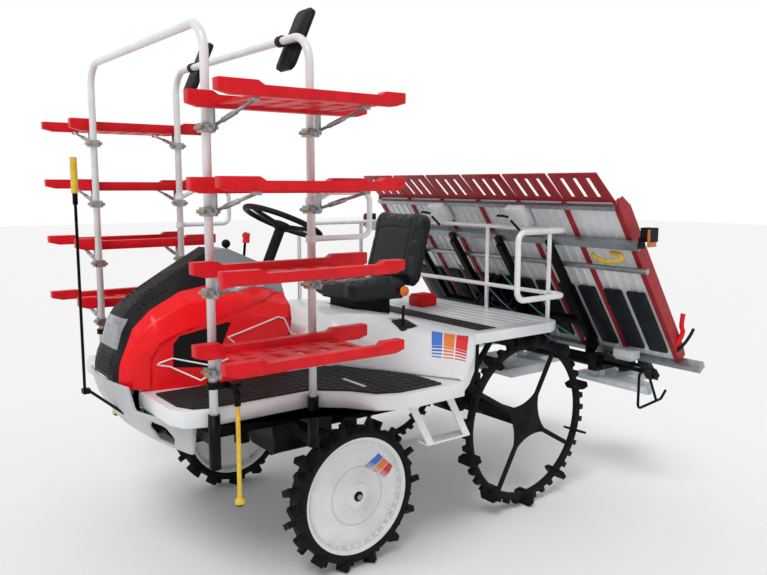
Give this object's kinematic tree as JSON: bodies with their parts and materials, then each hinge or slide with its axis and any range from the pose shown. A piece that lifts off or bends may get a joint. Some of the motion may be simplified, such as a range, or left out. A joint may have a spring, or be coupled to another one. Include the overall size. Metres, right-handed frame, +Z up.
{
  "type": "rice transplanter",
  "caption": "Riding rice transplanter with seedling racks, a raised seedling table and planting arms, and narrow paddy wheels.",
  "frame": {"origin": "on the ground, under the middle of the machine's bounding box", "axes": "+Z up, -Y the way the machine drives, +X its left-hand side"},
  "size_m": [2.25, 2.9748, 2.3233],
  "materials": {
    "frame_black": "satin black paint on steel",
    "engine_dark": "cast engine, one plain block",
    "red_paint": "gloss red moulded cover",
    "black_plastic": "matt black plastic",
    "lens": "clear lens",
    "grey_plastic": "light grey plastic",
    "silver_plastic": "silver grey plastic",
    "white_plastic": "gloss white plastic",
    "mat_rubber": "ribbed rubber mat",
    "white_paint": "white paint on steel",
    "seat_vinyl": "black vinyl over foam",
    "red_plastic": "red plastic",
    "clamp_metal": "yellow zinc plated steel",
    "tyre": "solid rubber paddy tyre",
    "wheel_rubber": "rubber on a steel ring",
    "chrome_rod": "hard chrome rod",
    "galvanised": "zinc plated steel",
    "belt_rubber": "dark belt guard",
    "case_metal": "cast aluminium case",
    "float_plastic": "pale grey float"
  },
  "bodies": {
    "chassis": {"main_frame": "frame_black", "frame_arms": "frame_black", "engine_block": "engine_dark", "front_axle_case": "frame_black", "rear_axle_case": "frame_black", "bonnet": "red_paint", "bonnet_centre": "black_plastic", "headlamps": "lens", "dash_cover": "grey_plastic", "bumper": "silver_plastic", "floor_panel": "white_plastic", "floor_mats": "mat_rubber", "rear_cover": "white_plastic", "rear_deck": "white_plastic", "guard_rail": "white_paint", "seat_base": "frame_black", "seat_cushion": "seat_vinyl", "seat_back": "seat_vinyl", "steering_column": "black_plastic", "control_levers": "frame_black", "front_hoop": "white_paint", "rear_hoop": "white_paint", "rack_sockets": "frame_black", "shelves_left": "red_plastic", "shelves_right": "red_plastic", "rack_struts": "clamp_metal", "grab_hoops": "white_paint", "mirrors": "black_plastic", "marker_brackets": "frame_black", "steps": "white_paint"},
    "steering": {"steering_wheel": "black_plastic"},
    "steer_left": {"knuckle_left": "frame_black"},
    "steer_right": {"knuckle_right": "frame_black"},
    "front_wheel_left": {"front_rim_left": "white_paint", "front_tyre_left": "tyre"},
    "front_wheel_right": {"front_rim_right": "white_paint", "front_tyre_right": "tyre"},
    "rear_wheel_left_body": {"rear_wheel_left": "wheel_rubber"},
    "rear_wheel_right_body": {"rear_wheel_right": "wheel_rubber"},
    "centre_marker": {"marker_mast": "frame_black"},
    "side_marker_l": {"side_marker_left": "frame_black"},
    "side_marker_r": {"side_marker_right": "frame_black"},
    "lift_lower": {"lower_links": "frame_black"},
    "lift_upper": {"upper_link": "frame_black"},
    "lift_barrel": {"lift_cylinder": "frame_black"},
    "lift_piston": {"lift_rod": "chrome_rod"},
    "planter": {"planter_frame": "frame_black", "tray_bars": "galvanised", "planting_cases": "case_metal", "floats": "float_plastic", "side_guards": "frame_black", "tail_lamps": "black_plastic"},
    "seedling_table": {"tray_panels": "white_plastic", "tray_dividers": "red_plastic", "tray_runners": "galvanised", "tray_plates": "red_plastic", "feed_belts": "belt_rubber"},
    "rotor_l": {"rotor_left": "case_metal"},
    "rotor_c": {"rotor_centre": "case_metal"},
    "rotor_r": {"rotor_right": "case_metal"}
  },
  "joints": [
    {"name": "steer_left", "type": "hinge", "parent": "chassis", "child": "steer_left", "pos_m": [0.462, -0.55242, 0.5], "axis": [0, 0, 1], "range_deg": [-38, 38]},
    {"name": "steer_right", "type": "hinge", "parent": "chassis", "child": "steer_right", "pos_m": [-0.462, -0.55242, 0.5], "axis": [0, 0, 1], "range_deg": [-38, 38]},
    {"name": "steering_wheel", "type": "hinge", "parent": "chassis", "child": "steering", "pos_m": [0, -0.54242, 1.462], "axis": [0, 0.4067, 0.9135], "range_deg": [-470, 470]},
    {"name": "front_wheel_left", "type": "hinge", "parent": "steer_left", "child": "front_wheel_left", "pos_m": [0.59, -0.55242, 0.325], "axis": [1, 0, 0], "continuous": true},
    {"name": "front_wheel_right", "type": "hinge", "parent": "steer_right", "child": "front_wheel_right", "pos_m": [-0.59, -0.55242, 0.325], "axis": [1, 0, 0], "continuous": true},
    {"name": "rear_wheel_left", "type": "hinge", "parent": "chassis", "child": "rear_wheel_left_body", "pos_m": [0.585, 0.51758, 0.45], "axis": [1, 0, 0], "continuous": true},
    {"name": "rear_wheel_right", "type": "hinge", "parent": "chassis", "child": "rear_wheel_right_body", "pos_m": [-0.585, 0.51758, 0.45], "axis": [1, 0, 0], "continuous": true},
    {"name": "centre_marker", "type": "hinge", "parent": "chassis", "child": "centre_marker", "pos_m": [0, -1.47742, 0.795], "axis": [1, 0, 0], "range_deg": [0, 90]},
    {"name": "side_marker_left", "type": "hinge", "parent": "chassis", "child": "side_marker_l", "pos_m": [0.705, -1.13742, 0.915], "axis": [0, -1, 0], "range_deg": [0, 90]},
    {"name": "side_marker_right", "type": "hinge", "parent": "chassis", "child": "side_marker_r", "pos_m": [-0.705, -1.13742, 0.915], "axis": [0, 1, 0], "range_deg": [0, 90]},
    {"name": "lift", "type": "hinge", "parent": "chassis", "child": "lift_lower", "pos_m": [0, 0.50758, 0.52], "axis": [1, 0, 0], "range_deg": [-53.4, 0]},
    {"name": "lift_top_link", "type": "hinge", "parent": "chassis", "child": "lift_upper", "pos_m": [0, 0.50758, 0.64], "axis": [1, 0, 0], "range_deg": [-53.4, 0]},
    {"name": "planter_level", "type": "hinge", "parent": "lift_lower", "child": "planter", "pos_m": [0, 0.88144, 0.97514], "axis": [1, 0, 0], "range_deg": [0, 53.4]},
    {"name": "lift_barrel", "type": "hinge", "parent": "chassis", "child": "lift_barrel", "pos_m": [-0.075, 0.08758, 0.62], "axis": [1, 0, 0], "range_deg": [-2, 2]},
    {"name": "lift_piston", "type": "slide", "parent": "lift_barrel", "child": "lift_piston", "axis": [0, 0.9994, 0.0336], "range_m": [0, 0.118]},
    {"name": "seedling_table", "type": "slide", "parent": "planter", "child": "seedling_table", "axis": [1, 0, 0], "range_m": [-0.24, 0.04]},
    {"name": "rotor_left", "type": "hinge", "parent": "planter", "child": "rotor_l", "pos_m": [0.6, 1.32242, 0.64004], "axis": [1, 0, 0], "continuous": true},
    {"name": "rotor_centre", "type": "hinge", "parent": "planter", "child": "rotor_c", "pos_m": [0, 1.32242, 0.64004], "axis": [1, 0, 0], "continuous": true},
    {"name": "rotor_right", "type": "hinge", "parent": "planter", "child": "rotor_r", "pos_m": [-0.6, 1.32242, 0.64004], "axis": [1, 0, 0], "continuous": true}
  ],
  "couplings": [
    {"joint": "steer_right", "follows": "steer_left", "ratio": 1},
    {"joint": "steering_wheel", "follows": "steer_left", "ratio": 12},
    {"joint": "lift_top_link", "follows": "lift", "ratio": 1},
    {"joint": "planter_level", "follows": "lift", "ratio": -1},
    {"joint": "lift_barrel", "follows": "lift", "ratio": -0.026},
    {"joint": "lift_piston", "follows": "lift", "m_per_rad": -0.1253},
    {"joint": "rotor_centre", "follows": "rotor_left", "ratio": 1},
    {"joint": "rotor_right", "follows": "rotor_left", "ratio": 1}
  ]
}
